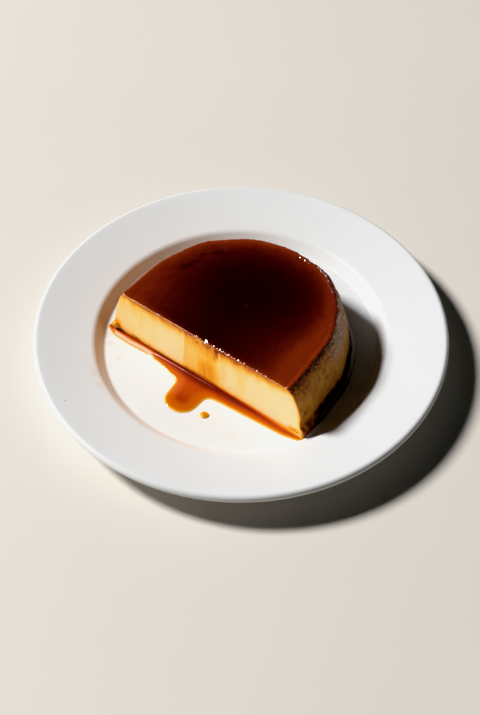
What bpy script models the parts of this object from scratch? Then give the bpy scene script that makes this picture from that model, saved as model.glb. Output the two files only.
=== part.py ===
"""Cut creme caramel flan resting in its caramel on a round dinner plate.

Metres, +Z up. The origin is the centre of the plate's foot, on the table. +X runs along
the flan's cut face, and the cut face looks towards -Y.
"""

import math

import bmesh
import bpy
from mathutils import Matrix, Vector

# Clearance left between pieces that touch.
GAP = 0.0003

# Plate: a flat well, a steep slope up to the shoulder, and a rim that rises to a rolled lip.
PLATE_RADIUS = 0.130
PLATE_THICKNESS = 0.0052
LIP_HEIGHT = 0.020          # middle of the lip above the table
FLOOR_HEIGHT = 0.009        # top of the well's floor
FLOOR_EDGE = 0.0870         # radius where the floor meets the slope
SHOULDER_RADIUS = 0.0930
SHOULDER_HEIGHT = 0.0153
WELL_FILLET = 0.004
FOOT_OUTER = 0.0845
FOOT_INNER = 0.0785
FOOT_HEIGHT = 0.0040        # recess under the floor, inside the foot
FOOT_ROUND = 0.0012
FOOT_TAPER = 0.0006         # how far the foot ring narrows on each side
UNDER_SHOULDER = 0.0015     # the underside bends this far outside the shoulder
PLATE_STEPS = 72

# Flan: an arch seen from above, with straight sides up to the knife's cut in front.
CUT_Y = -0.0388
SIDE_END_Y = -0.0200        # the straight sides end and the arch begins
FLAN_LEFT = -0.0712         # reach at the foot, without the ledge
FLAN_RIGHT = 0.0729
FLAN_BACK = 0.0630
CROWN_X = 0.0060            # the arch's furthest point lies right of the middle
ARCH_ROUNDNESS = 2.15       # exponent of the arch: 2 is an ellipse, more is squarer
FLAN_HEIGHT = 0.0378
TOP_INSET = 0.0091          # how far the wall has leaned in at the top
BACK_INSET = 0.88           # the back leans in less than the sides, by this factor
LEAN_POWER = 2.45           # upright at the foot, leaning more towards the top
LEAN_SKEW = 0.55            # the right side bulges more than the left
SHOULDER_ROUND = 0.0015     # rounding between the wall and the top
LEDGE_REACH = 0.0023        # browned ledge around the foot
LEDGE_FULL = 0.0025         # height up to which the ledge stands out fully
LEDGE_TOP = 0.0085          # height where the ledge has faded into the wall
WALL_WAVE = 0.0003          # unevenness of the wall
SIDE_STEPS = 4
ARCH_STEPS = 76
LEDGE_RINGS = 4
WALL_RINGS = 7
CARAMEL_RINGS = 5
CARAMEL_THICKNESS = 0.0012  # glossy layer over the top

# Caramel sauce: a shallow pool around the foot, with one tongue in front and one drop.
POOL_DEPTH = 0.0012
POOL_RING = 0.0018          # width of the pool behind the flan
RING_SWELL = 0.0006         # how much wider it is on the right, and narrower on the left
TONGUE_LEFT = -0.0104
TONGUE_RIGHT = 0.0102
TONGUE_TIP = -0.0694
DROP_CENTRE = Vector((0.0180, -0.0605))
DROP_RADIUS = 0.0028
DROP_HEIGHT = 0.0012
DROP_STEPS = 28
DROP_RINGS = 6


def reset_scene():
    """Remove whatever the scene holds."""
    for obj in list(bpy.data.objects):
        bpy.data.objects.remove(obj, do_unlink=True)


def new_collection(name):
    """Return a new collection linked to the scene."""
    group = bpy.data.collections.new(name)
    bpy.context.scene.collection.children.link(group)
    return group


def material(name, colour, roughness):
    """Return a Principled material of one colour; nothing on this object is metal."""
    mat = bpy.data.materials.new(name)
    mat.use_nodes = True
    shader = mat.node_tree.nodes["Principled BSDF"]
    shader.inputs["Base Color"].default_value = (*colour, 1.0)
    shader.inputs["Roughness"].default_value = roughness
    shader.inputs["Metallic"].default_value = 0.0
    return mat


def add_object(name, data, group, mat=None):
    """Link a mesh or curve to a collection as an object."""
    obj = bpy.data.objects.new(name, data)
    group.objects.link(obj)
    if mat:
        data.materials.append(mat)
    return obj


def smooth(mesh, sharp_angle=40.0):
    """Shade a mesh smooth and keep its real corners sharp."""
    mesh.shade_smooth()
    mesh.set_sharp_from_angle(angle=math.radians(sharp_angle))


def arc(centre, radius, start, end, steps):
    """Return the points of an arc, with its angles in degrees."""
    points = []
    for step in range(steps + 1):
        angle = math.radians(start + (end - start) * step / steps)
        offset = Vector((math.cos(angle), math.sin(angle))) * radius
        points.append(centre + offset)
    return points


def fillet(before, corner, after, radius, steps):
    """Return the arc that rounds one corner of an outline."""
    to_before = (before - corner).normalized()
    to_after = (after - corner).normalized()
    half_angle = to_before.angle(to_after) / 2
    centre = corner + (to_before + to_after).normalized() * radius / math.sin(half_angle)
    start = corner + to_before * radius / math.tan(half_angle) - centre
    turn = start.angle_signed(corner + to_after * radius / math.tan(half_angle) - centre)
    return [centre + Matrix.Rotation(-turn * step / steps, 2) @ start for step in range(steps + 1)]


def rounded(corners, steps):
    """Return an open outline whose inner corners, given as (x, y, radius), are arcs."""
    places = [Vector(corner[:2]) for corner in corners]
    points = [places[0]]
    for index in range(1, len(corners) - 1):
        radius = corners[index][2]
        points += fillet(places[index - 1], places[index], places[index + 1], radius, steps)
    points.append(places[-1])
    return points


def turned(name, profile, steps, group, mat, place=(0.0, 0.0)):
    """Turn an open profile, which runs from the axis down its outer side, about Z."""
    mesh = bpy.data.meshes.new(name)
    edges = [(index, index + 1) for index in range(len(profile) - 1)]
    mesh.from_pydata([(point.x, 0.0, point.y) for point in profile], edges, [])
    obj = add_object(name, mesh, group, mat)
    obj.location = (*place, 0.0)
    screw = obj.modifiers.new("Turn", "SCREW")
    screw.axis = "Z"
    screw.steps = steps
    screw.render_steps = steps
    screw.use_merge_vertices = True
    screw.merge_threshold = 0.00001
    screw.use_smooth_shade = True


def loft(name, rings, mat, group):
    """Add a closed solid through rings of equal length, stacked from the foot upwards."""
    shape = bmesh.new()
    loops = [[shape.verts.new(point) for point in ring] for ring in rings]
    count = len(rings[0])
    for lower, upper in zip(loops, loops[1:]):
        for index in range(count):
            following = (index + 1) % count
            shape.faces.new((lower[index], lower[following], upper[following], upper[index]))
    shape.faces.new(loops[-1])
    shape.faces.new(list(reversed(loops[0])))
    mesh = bpy.data.meshes.new(name)
    shape.to_mesh(mesh)
    shape.free()
    smooth(mesh)
    add_object(name, mesh, group, mat)


def wall_inset(height, along):
    """Return how far the wall lies inside the foot's outline; along is -1 at the left, 1 at the right."""
    inset = TOP_INSET * (height / FLAN_HEIGHT) ** (LEAN_POWER + LEAN_SKEW * along)
    rounding = height - (FLAN_HEIGHT - SHOULDER_ROUND)
    if rounding > 0.0:
        rounding = min(rounding, SHOULDER_ROUND)
        inset += SHOULDER_ROUND - math.sqrt(SHOULDER_ROUND ** 2 - rounding ** 2)
    fade = min(max((LEDGE_TOP - height) / (LEDGE_TOP - LEDGE_FULL), 0.0), 1.0)
    return inset - LEDGE_REACH * fade * fade * (3 - 2 * fade)


def arch_place(index):
    """Return (along, across, y on a straight side) of a step around the arch, from the left corner."""
    if index < SIDE_STEPS:
        return -1.0, 0.0, CUT_Y + (SIDE_END_Y - CUT_Y) * index / SIDE_STEPS
    if index > SIDE_STEPS + ARCH_STEPS:
        left_over = 2 * SIDE_STEPS + ARCH_STEPS - index
        return 1.0, 0.0, CUT_Y + (SIDE_END_Y - CUT_Y) * left_over / SIDE_STEPS
    angle = math.pi * (1 - (index - SIDE_STEPS) / ARCH_STEPS)
    power = 2 / ARCH_ROUNDNESS
    along = math.copysign(abs(math.cos(angle)) ** power, math.cos(angle))
    return along, abs(math.sin(angle)) ** power, SIDE_END_Y


def flan_outline(height, grow=0.0):
    """Return the flan's outline at a height, from the left cut corner around to the right one."""
    points = []
    for index in range(2 * SIDE_STEPS + ARCH_STEPS + 1):
        along, across, y = arch_place(index)
        turn = math.tau * index / (2 * SIDE_STEPS + ARCH_STEPS)
        wave = WALL_WAVE * (math.sin(5 * turn + 1.0) + math.sin(8 * turn + 2.5))
        inset = wall_inset(height, along)
        side = (FLAN_RIGHT - CROWN_X) if along > 0.0 else (CROWN_X - FLAN_LEFT)
        x = CROWN_X + along * (side - inset + grow + wave)
        y += across * (FLAN_BACK - SIDE_END_Y - BACK_INSET * inset + grow + wave)
        points.append(Vector((x, y)))
    return points


def flan_layer(name, heights, mat, group):
    """Add a layer of the flan that has a ring at each of these heights above the plate's floor."""
    rings = []
    for height in heights:
        outline = reversed(flan_outline(height))
        rings.append([(point.x, point.y, FLOOR_HEIGHT + height) for point in outline])
    loft(name, rings, mat, group)


def make_plate(group):
    """Turn the plate: floor, slope, rim, rolled lip, underside and foot ring."""
    lip_radius = PLATE_THICKNESS / 2
    lip_centre = Vector((PLATE_RADIUS - lip_radius, LIP_HEIGHT))
    shoulder = Vector((SHOULDER_RADIUS, SHOULDER_HEIGHT))
    rim_line = lip_centre + Vector((0.0, lip_radius)) - shoulder
    slope = math.degrees(math.atan2(rim_line.y, rim_line.x))
    lip = arc(lip_centre, lip_radius, 90 + slope, 0, 5)
    lip += arc(lip_centre, lip_radius, 0, slope - 90, 4)[1:]
    top = rounded([
        (0.0, FLOOR_HEIGHT),
        (FLOOR_EDGE, FLOOR_HEIGHT, WELL_FILLET),
        (*shoulder, WELL_FILLET),
        tuple(lip[0]),
    ], 3)
    rim_underside = shoulder + Vector((UNDER_SHOULDER, -PLATE_THICKNESS))
    underside = rounded([
        tuple(lip[-1]),
        (*rim_underside, WELL_FILLET),
        (FOOT_OUTER, FOOT_HEIGHT, FOOT_ROUND),
        (FOOT_OUTER - FOOT_TAPER, 0.0, FOOT_ROUND),
        (FOOT_INNER, 0.0, FOOT_ROUND),
        (FOOT_INNER - FOOT_TAPER, FOOT_HEIGHT, FOOT_ROUND),
        (0.0, FOOT_HEIGHT),
    ], 2)
    porcelain = material("Porcelain", (0.86, 0.86, 0.84), 0.12)
    turned("plate", top[:-1] + lip + underside[1:], PLATE_STEPS, group, porcelain)


def make_flan(group):
    """Make the pale custard and the glossy caramel layer over it."""
    custard_top = FLAN_HEIGHT - CARAMEL_THICKNESS - GAP
    ledge = [GAP] + [LEDGE_FULL + (LEDGE_TOP - LEDGE_FULL) * step / LEDGE_RINGS
                     for step in range(LEDGE_RINGS + 1)]
    wall = [LEDGE_TOP + (custard_top - LEDGE_TOP) * step / WALL_RINGS
            for step in range(1, WALL_RINGS + 1)]
    custard_colour = material("Custard", (0.90, 0.62, 0.28), 0.45)
    flan_layer("custard", ledge + wall, custard_colour, group)

    # The rings crowd towards the top, where the shoulder turns over.
    top_heights = [FLAN_HEIGHT - CARAMEL_THICKNESS * (1 - step / CARAMEL_RINGS) ** 1.5
                   for step in range(CARAMEL_RINGS + 1)]
    caramel = material("Caramel", (0.09, 0.012, 0.003), 0.10)
    flan_layer("caramel_top", top_heights, caramel, group)


def pool_front():
    """Return the sauce's front edge, from the right corner of the flan to the left one."""
    corners = [
        (0.0766, -0.0330),
        (0.0764, -0.0423, 0.0045),      # right corner
        (0.0640, -0.0452, 0.0300),
        (0.0200, -0.0478, 0.0250),
        (TONGUE_RIGHT + 0.0008, -0.0489, 0.0045),
        (TONGUE_RIGHT, TONGUE_TIP, 0.0102),
        (TONGUE_LEFT, TONGUE_TIP, 0.0096),
        (TONGUE_LEFT - 0.0022, -0.0496, 0.0036),
        (-0.0300, -0.0458, 0.0300),
        (-0.0450, -0.0432, 0.0150),
        (-0.0580, -0.0434, 0.0150),
        (-0.0685, -0.0440, 0.0060),
        (-0.0761, -0.0406, 0.0020),     # left corner
        (-0.0752, -0.0350),
    ]
    return rounded(corners, 6)


def pool_back():
    """Return the ring's outer edge, from the left corner around the back to the right one."""
    outline = flan_outline(0.0)
    points = []
    for index in range(SIDE_STEPS, len(outline) - SIDE_STEPS):
        away = (outline[index + 1] - outline[index - 1]).normalized()
        width = POOL_RING + RING_SWELL * arch_place(index)[0]
        points.append(outline[index] + Vector((-away.y, away.x)) * width)
    return points


def footprint():
    """Return the edge of the pool around the flan's foot, a gap clear of the custard."""
    outline = flan_outline(0.0, GAP)
    outline[0].y -= GAP
    outline[-1].y -= GAP
    return outline


def add_loop(curve, points):
    """Add a closed straight-sided spline to a flat curve."""
    spline = curve.splines.new("POLY")
    spline.points.add(len(points) - 1)
    for place, point in zip(spline.points, points):
        place.co = (point.x, point.y, 0.0, 1.0)
    spline.use_cyclic_u = True


def make_pool(group):
    """Make the sauce on the plate's floor, open where the flan stands."""
    curve = bpy.data.curves.new("sauce_pool", "CURVE")
    curve.dimensions = "2D"
    curve.fill_mode = "BOTH"
    curve.extrude = POOL_DEPTH / 2
    add_loop(curve, pool_front() + pool_back())
    add_loop(curve, footprint())
    flat = add_object("sauce_pool_outline", curve, group)
    flat.location.z = FLOOR_HEIGHT + GAP + POOL_DEPTH / 2
    bpy.context.view_layer.update()
    evaluated = flat.evaluated_get(bpy.context.evaluated_depsgraph_get())
    mesh = bpy.data.meshes.new_from_object(evaluated)
    shape = bmesh.new()
    shape.from_mesh(mesh)
    bmesh.ops.remove_doubles(shape, verts=shape.verts, dist=0.00001)
    shape.to_mesh(mesh)
    shape.free()
    smooth(mesh)
    pool = add_object("sauce_pool", mesh, group, material("Sauce", (0.42, 0.09, 0.01), 0.08))
    pool.matrix_world = flat.matrix_world.copy()
    bpy.data.objects.remove(flat, do_unlink=True)


def make_drop(group):
    """Turn the single drop of sauce in front of the flan: a low dome."""
    base = FLOOR_HEIGHT + GAP
    profile = []
    for step in range(DROP_RINGS + 1):
        angle = math.radians(90 * (1 - step / DROP_RINGS))
        profile.append(Vector((DROP_RADIUS * math.cos(angle), base + DROP_HEIGHT * math.sin(angle))))
    profile[0].x = 0.0
    profile.append(Vector((0.0, base)))
    amber = material("Amber sauce", (0.70, 0.28, 0.01), 0.08)
    turned("sauce_drop", profile, DROP_STEPS, group, amber, DROP_CENTRE)


def main():
    """Build the plate, the flan and its caramel."""
    reset_scene()
    parts = new_collection("creme_caramel_flan")
    make_plate(parts)
    make_flan(parts)
    make_pool(parts)
    make_drop(parts)


main()
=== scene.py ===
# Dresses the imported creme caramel: a cut flan standing in its caramel on a round white plate.
# Shapes are worked out in millimetres and become metres when their meshes are made.
import math
import bpy
import numpy as np
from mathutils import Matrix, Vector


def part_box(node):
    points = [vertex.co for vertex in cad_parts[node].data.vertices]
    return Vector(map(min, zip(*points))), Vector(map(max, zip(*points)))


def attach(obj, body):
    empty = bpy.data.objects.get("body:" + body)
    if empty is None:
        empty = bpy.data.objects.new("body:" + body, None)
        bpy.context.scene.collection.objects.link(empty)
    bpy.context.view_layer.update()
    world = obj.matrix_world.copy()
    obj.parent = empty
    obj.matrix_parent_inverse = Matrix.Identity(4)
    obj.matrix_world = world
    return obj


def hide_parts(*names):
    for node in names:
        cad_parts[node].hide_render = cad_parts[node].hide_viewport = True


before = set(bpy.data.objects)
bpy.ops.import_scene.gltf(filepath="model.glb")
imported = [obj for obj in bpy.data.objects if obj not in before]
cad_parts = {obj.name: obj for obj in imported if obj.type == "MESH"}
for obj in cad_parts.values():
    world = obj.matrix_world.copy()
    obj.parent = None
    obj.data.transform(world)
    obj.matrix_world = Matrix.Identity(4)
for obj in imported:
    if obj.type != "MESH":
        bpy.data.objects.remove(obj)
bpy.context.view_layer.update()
mm = 0.001


def nodeBox(name):
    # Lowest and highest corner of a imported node, in millimetres
    low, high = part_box(name)
    return np.array(low) / mm, np.array(high) / mm


custardLow, custardHigh = nodeBox("custard")
dropLow, dropHigh = nodeBox("sauce_drop")
gap = 0.3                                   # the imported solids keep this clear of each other
floorZ = nodeBox("sauce_pool")[0][2] - gap  # the plate's floor, which everything stands on
topZ = nodeBox("caramel_top")[1][2]
cutY = custardLow[1]

# The flan's body: an arch seen from above, cut straight across in front
flan = {
    "cornerSwell": 2.75,                    # ledge and waviness outside the reaches below
    "backSwell": 2.06,
    "sideEnd": 18.8,                        # straight sides, from the cut to where the arch begins
    "crownX": 6.0,
    "archPower": 2.15,                      # 2 is an ellipse, more is squarer
    "topInset": 9.1,                        # how far the wall leans in at the top
    "backInset": 0.88,
    "leanPower": 2.45,
    "leanSkew": 0.55,                       # the right side bulges more than the left
    "shoulderRound": 1.5,
    "ledgeReach": 2.3,                      # browned ledge around the foot
    "ledgeFull": 2.5,
    "ledgeTop": 8.5,
    "wave": 0.3,
    "sideShare": 4 / 84,                    # share of a turn that each straight side takes
    "cutCorner": 0.9,                       # rounding of the two upright cut edges
    "wallColumns": 500,
    "cornerColumns": 5,
    "cutColumns": 350,
}
flan["left"] = custardLow[0] + flan["cornerSwell"]
flan["right"] = custardHigh[0] - flan["cornerSwell"]
flan["back"] = custardHigh[1] - flan["backSwell"]
flan["height"] = topZ - floorZ
flan["sideEndY"] = cutY + flan["sideEnd"]


def smoothStep(low, high, value):
    # 0 below low and 1 above high, with 3t^2 - 2t^3 between
    share = np.clip((value - low) / (high - low), 0.0, 1.0)
    return share * share * (3.0 - 2.0 * share)


def gain(limits, value):
    # A smooth step from a start to an end, times an amount
    start, end, amount = limits
    return amount * smoothStep(start, end, value)


def hump(value, middle, width, power=2):
    # 1 at the middle and 0 far away: exp(-((value - middle) / width) ^ power)
    return np.exp(-((value - middle) / width) ** power)


def table(rows, x):
    # The columns of a table after its first, each read off at x
    at, *columns = (np.array(column) for column in zip(*rows))
    return [np.interp(x, at, column) for column in columns]


def fullTurn(count):
    # Evenly spaced angles once round
    return np.linspace(0.0, 2 * np.pi, count, endpoint=False)


latticeSize = 4096                          # random directions in the noise, a power of two
latticePrimes = np.array([73856093, 19349663, 83492791])
latticeShift = 37.3                         # sets every octave off from the others' corners
noiseGain = 1.6                             # brings the result to about -1 to 1


def noise(points, size, seed, octaves=1):
    # Smooth random relief, about -1 to 1. Every lattice corner has a random direction, and its
    # dot product with the way to it is blended by 6t^5 - 15t^4 + 10t^3. Each octave is half the size.
    directions = np.random.default_rng(seed).normal(size=(latticeSize, 3))
    directions /= np.linalg.norm(directions, axis=1, keepdims=True)
    total = np.zeros(points.shape[:-1])
    for octave in range(octaves):
        scaled = points / np.array(size) * 2.0 ** octave + latticeShift * (octave + 1)
        cell = np.floor(scaled).astype(np.int64)
        offset = scaled - cell
        blend = offset ** 3 * (offset * (offset * 6.0 - 15.0) + 10.0)
        for corner in range(8):
            step = np.array([corner & 1, corner >> 1 & 1, corner >> 2 & 1])
            key = np.bitwise_xor.reduce((cell + step) * latticePrimes, axis=-1) & (latticeSize - 1)
            weight = np.prod(np.where(step == 1, blend, 1.0 - blend), axis=-1)
            dots = np.einsum("...i,...i", directions[key], offset - step)
            total += weight * dots * noiseGain / 2.0 ** octave
    return total


def levelled(points):
    # The same places at height zero
    return np.concatenate([points[..., :2], np.zeros_like(points[..., :1])], axis=-1)


def wallInset(height, along):
    # How far the wall lies inside the foot's outline: topInset * (height share) ^ lean,
    # plus a quarter circle at the shoulder, less the ledge that swells around the foot
    share = np.clip(height / flan["height"], 0.0, 1.0)
    inset = flan["topInset"] * share ** (flan["leanPower"] + flan["leanSkew"] * along)
    bend = flan["shoulderRound"]
    rise = np.clip(height - (flan["height"] - bend), 0.0, bend)
    inset = inset + bend - np.sqrt(bend ** 2 - rise ** 2)
    return inset - flan["ledgeReach"] * smoothStep(-flan["ledgeTop"], -flan["ledgeFull"], -height)


def flanOutline(height, turn, grow=0.0):
    # x and y of the wall at a height; turn runs 0 to 1 from the left cut corner round the back.
    # The arch is |cos|^(2/power) across and |sin|^(2/power) deep, and both sides run straight.
    side = flan["sideShare"]
    angle = np.pi * (1.0 - np.clip((turn - side) / (1.0 - 2.0 * side), 0.0, 1.0))
    power = 2.0 / flan["archPower"]
    along = np.sign(np.cos(angle)) * np.abs(np.cos(angle)) ** power
    across = np.abs(np.sin(angle)) ** power
    straight = np.clip(np.minimum(turn, 1.0 - turn) / side, 0.0, 1.0)
    y = cutY + (flan["sideEndY"] - cutY) * straight
    wave = flan["wave"] * (np.sin(10 * np.pi * turn + 1.0) + np.sin(16 * np.pi * turn + 2.5))
    inset = wallInset(height, along)
    reach = np.where(along > 0.0, flan["right"] - flan["crownX"], flan["crownX"] - flan["left"])
    x = flan["crownX"] + along * (reach - inset + grow + wave)
    depth = flan["back"] - flan["sideEndY"] - flan["backInset"] * inset + grow + wave
    return x, y + across * depth


def evenTurns(count, start, end):
    # Turns that step evenly along the wall's length at the foot
    dense = np.linspace(start, end, 4000)
    x, y = flanOutline(0.0, dense)
    length = np.concatenate([[0.0], np.cumsum(np.hypot(np.diff(x), np.diff(y)))])
    return np.interp(np.linspace(0.0, length[-1], count), length, dense)


cornerTurn = flan["sideShare"] * flan["cutCorner"] / flan["sideEnd"]
wallTurns = evenTurns(flan["wallColumns"], cornerTurn, 1.0 - cornerTurn)
# Along a ring: 1 on the cut face, 0 on the wall, and a ramp round each cut corner
cornerShares = np.arange(1, flan["cornerColumns"] + 1) / (flan["cornerColumns"] + 1)
ringCut = np.concatenate([np.zeros(flan["wallColumns"]), cornerShares,
                          np.ones(flan["cutColumns"]), cornerShares[::-1]])


def flanRing(height, grow=0.0, cutGrow=0.0):
    # One closed ring of the flan's body at each height: the wall, a rounded right corner, the
    # straight cut from right to left, and a rounded left corner. Returns x and y, rows x columns.
    count = flan["wallColumns"]
    corner = flan["cutCorner"]
    share = np.linspace(0.0, 1.0, flan["cutColumns"])
    size = (len(height), len(ringCut))
    front = cutY - np.broadcast_to(cutGrow, size)
    wallX, wallY = flanOutline(np.broadcast_to(height, size)[:, :count], wallTurns,
                               np.broadcast_to(grow, size)[:, :count])
    right, left = wallX[:, -1:], wallX[:, :1]
    firstArc = slice(count, count + flan["cornerColumns"])
    cut = slice(firstArc.stop, firstArc.stop + flan["cutColumns"])
    lastArc = slice(cut.stop, None)
    # Quadratic curves round the corners: (1-t)^2 A + 2t(1-t) C + t^2 B
    rest = 1 - cornerShares
    ahead, across, behind = rest ** 2, 2 * cornerShares * rest, cornerShares ** 2
    rightX = (ahead + across) * right + behind * (right - corner)
    rightY = ahead * (cutY + corner) + (across + behind) * front[:, firstArc]
    cutX = (right - corner) + (left - right + 2 * corner) * share
    leftX = ahead * (left + corner) + (across + behind) * left
    leftY = (ahead + across) * front[:, lastArc] + behind * (cutY + corner)
    x = np.concatenate([wallX, rightX, cutX, leftX], axis=1)
    y = np.concatenate([wallY, rightY, front[:, cut], leftY], axis=1)
    return x, y


def ringPoints(height, grow=0.0, cutGrow=0.0):
    # Points of the flan's rings at these heights above the plate's floor
    x, y = flanRing(height, grow, cutGrow)
    return np.stack([x, y, floorZ + np.broadcast_to(height, x.shape)], -1)


def ringNormals(rings):
    # Unit normals of stacked rings: the way up crossed with the way round
    around = np.roll(rings, -1, axis=1) - np.roll(rings, 1, axis=1)
    upward = np.gradient(rings, axis=0)
    normal = np.cross(upward, around)
    return normal / np.maximum(np.linalg.norm(normal, axis=-1, keepdims=True), 1e-9)


def gridPiece(name, rings, material, attributes=None, hollow=False):
    # A closed mesh from rings (rows x columns x 3, millimetres). Neighbouring rings are joined by
    # quads. The first and last ring close on a pole, or on each other when the piece is hollow.
    rows, columns = rings.shape[:2]
    index = np.arange(rows * columns).reshape(rows, columns)
    below = index if hollow else index[:-1]
    above = np.roll(index, -1, axis=0) if hollow else index[1:]
    quads = np.stack([below, np.roll(below, -1, 1), np.roll(above, -1, 1), above], -1).reshape(-1, 4)
    points = rings.reshape(-1, 3)
    triangles = np.zeros((0, 3), int)
    if not hollow:
        points = np.vstack([points, rings[0].mean(0), rings[-1].mean(0)])
        first, last = index[0], index[-1]
        start = np.full(columns, rows * columns)
        triangles = np.vstack([
            np.stack([np.roll(first, -1), first, start], -1),
            np.stack([last, np.roll(last, -1), start + 1], -1),
        ])
    # The enclosed volume is negative when the faces look inwards, and they are then turned round
    halves = np.vstack([quads[:, [0, 1, 2]], quads[:, [0, 2, 3]], triangles])
    a, b, c = (points[halves[:, corner]] for corner in range(3))
    if np.einsum("ij,ij", a, np.cross(b, c)) < 0.0:
        quads, triangles = quads[:, ::-1], triangles[:, ::-1]
    mesh = bpy.data.meshes.new(name)
    mesh.from_pydata(points * mm, [], quads.tolist() + triangles.tolist())
    for label, values in (attributes or {}).items():
        values = np.broadcast_to(values, (rows, columns))
        flat = values.reshape(-1)
        if not hollow:
            flat = np.concatenate([flat, [values[0].mean(), values[-1].mean()]])
        layer = mesh.attributes.new(label, "FLOAT", "POINT")
        layer.data.foreach_set("value", flat.astype(np.float32))
    mesh.shade_smooth()
    mesh.materials.append(material)
    piece = bpy.data.objects.new(name, mesh)
    bpy.context.scene.collection.objects.link(piece)
    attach(piece, "root")
    print("made", name, "with", len(mesh.polygons), "faces")
    return piece


def display(red, green, blue):
    # Linear colour of display values from 0 to 255
    values = np.array([red, green, blue]) / 255.0
    linear = np.where(values <= 0.04045, values / 12.92, ((values + 0.055) / 1.055) ** 2.4)
    return (*linear.tolist(), 1.0)


def plug(tree, node, inputs):
    # Gives each input of a node a value or another node's socket
    for key, value in inputs.items():
        if isinstance(value, bpy.types.NodeSocket):
            tree.links.new(value, node.inputs[key])
        else:
            node.inputs[key].default_value = value


def add(tree, kind, inputs, **settings):
    # Adds a shader node
    made = tree.nodes.new("ShaderNode" + kind)
    for key, value in settings.items():
        setattr(made, key, value)
    plug(tree, made, inputs)
    return made


def ramp(tree, factor, stops):
    # Colour ramp from stops of a position and three display values
    made = add(tree, "ValToRGB", {"Fac": factor})
    band = made.color_ramp
    while len(band.elements) < len(stops):
        band.elements.new(0.5)
    for element, (position, *colour) in zip(band.elements, stops):
        element.position = position
        element.color = display(*colour)
    return made.outputs["Color"]


def mixed(tree, share, first, second):
    # Blend of two colours
    return add(tree, "Mix", {0: share, 6: first, 7: second}, data_type="RGBA").outputs[2]


def maths(tree, operation, first, second=0.0, third=0.0):
    # Result of a Math node on sockets or values
    return add(tree, "Math", {0: first, 1: second, 2: third}, operation=operation).outputs[0]


def grain(tree, place, size, detail=3.0, rough=0.55):
    # Noise from 0 to 1 whose largest features are about this many millimetres across
    inputs = {"Vector": place, "Scale": 1.0 / (size * mm), "Detail": detail, "Roughness": rough}
    return add(tree, "TexNoise", inputs).outputs[0]


def mottle(tree, place, size, detail, amount, rough=0.55):
    # The same noise about zero
    return maths(tree, "MULTIPLY_ADD", grain(tree, place, size, detail, rough), amount, -amount / 2)


def spread(tree, value, limits):
    # Maps 0 to 1 onto these limits
    return add(tree, "MapRange", {"Value": value, "To Min": limits[0], "To Max": limits[1]}).outputs[0]


def startMaterial(name):
    # A new material, its nodes, its main shader and the place on the piece
    material = bpy.data.materials.new(name)
    material.use_nodes = True
    tree = material.node_tree
    shader = tree.nodes["Principled BSDF"]
    place = add(tree, "TexCoord", {}).outputs["Object"]
    return material, tree, shader, place


def named(tree, label):
    # The value that the mesh carries under this label
    return add(tree, "Attribute", {}, attribute_name=label).outputs["Fac"]


def bump(tree, shader, height, depth):
    # Fine relief, its depth in millimetres
    made = add(tree, "Bump", {"Height": height, "Distance": depth * mm, "Strength": 1.0})
    tree.links.new(made.outputs["Normal"], shader.inputs["Normal"])


# Plate: a flat well, a steep slope, a broad rim that rises to a rolled lip, and a foot ring
plate = {
    "radius": nodeBox("plate")[1][0],
    "thickness": 5.2,
    "lipMiddle": 20.0,
    "floorEdge": 86.9,
    "shoulder": (92.6, 15.8),
    "floorFillet": 3.0,
    "rimFillet": 6.0,
    "underFillet": 4.0,
    "footOuter": 84.5,
    "footInner": 78.5,
    "footHeight": 4.0,
    "footRound": 1.2,
    "footTaper": 0.6,
    "underShoulder": 1.5,
    "cornerSteps": 12,
    "lipSteps": 26,
    "longest": 3.0,                         # longest step along the profile
    "columns": 288,
    "rimWave": 0.12,                        # the rim rises and falls by this much, from here outwards
    "waveStart": 95.0,
    "glaze": display(236, 237, 237),
    "glazeDeep": display(232, 233, 232),
    "roughness": (0.185, 0.24),
    "smearColour": display(214, 180, 112),
    # Faint dried smears of caramel: x, y, half width, strength
    "smears": [(-72.0, -46.5, 4.5, 0.36), (-65.0, -51.5, 4.0, 0.30), (-53.0, -57.0, 2.4, 0.34),
               (-58.0, -47.0, 5.0, 0.12), (40.0, -63.0, 5.0, 0.08), (-52.0, -79.0, 5.0, 0.22),
               (-44.0, -85.0, 4.0, 0.22)],
    "smearBreak": 1.6,                      # how strongly the grain breaks them up
    "markCore": 0.3,                        # share of a mark that is at full strength
    "speckColour": display(92, 66, 44),
    "specks": [(-49.4, -109.4, 0.6, 0.9), (94.0, -30.0, 0.35, 0.6)],
}


def cornerArc(before, corner, after, radius, steps):
    # Arc of this radius that rounds a corner between two straight runs
    before, corner, after = (np.array(point, float) for point in (before, corner, after))
    back = (before - corner) / np.linalg.norm(before - corner)
    onward = (after - corner) / np.linalg.norm(after - corner)
    half = math.acos(np.clip(back @ onward, -1.0, 1.0)) / 2
    middle = (back + onward) / np.linalg.norm(back + onward)
    centre = corner + middle * radius / math.sin(half)
    start = corner + back * radius / math.tan(half) - centre
    end = corner + onward * radius / math.tan(half) - centre
    sweep = math.atan2(start[0] * end[1] - start[1] * end[0], start @ end)
    angle = math.atan2(start[1], start[0]) + sweep * np.linspace(0.0, 1.0, steps + 1)
    return centre + radius * np.stack([np.cos(angle), np.sin(angle)], -1)


def rounded(corners, steps):
    # Open outline through corners (x, y, radius), with each inner corner an arc
    runs = [np.array([corners[0][:2]], float)]
    for before, corner, after in zip(corners, corners[1:], corners[2:]):
        runs.append(cornerArc(before[:2], corner[:2], after[:2], corner[2], steps))
    runs.append(np.array([corners[-1][:2]], float))
    return np.vstack(runs)


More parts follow.
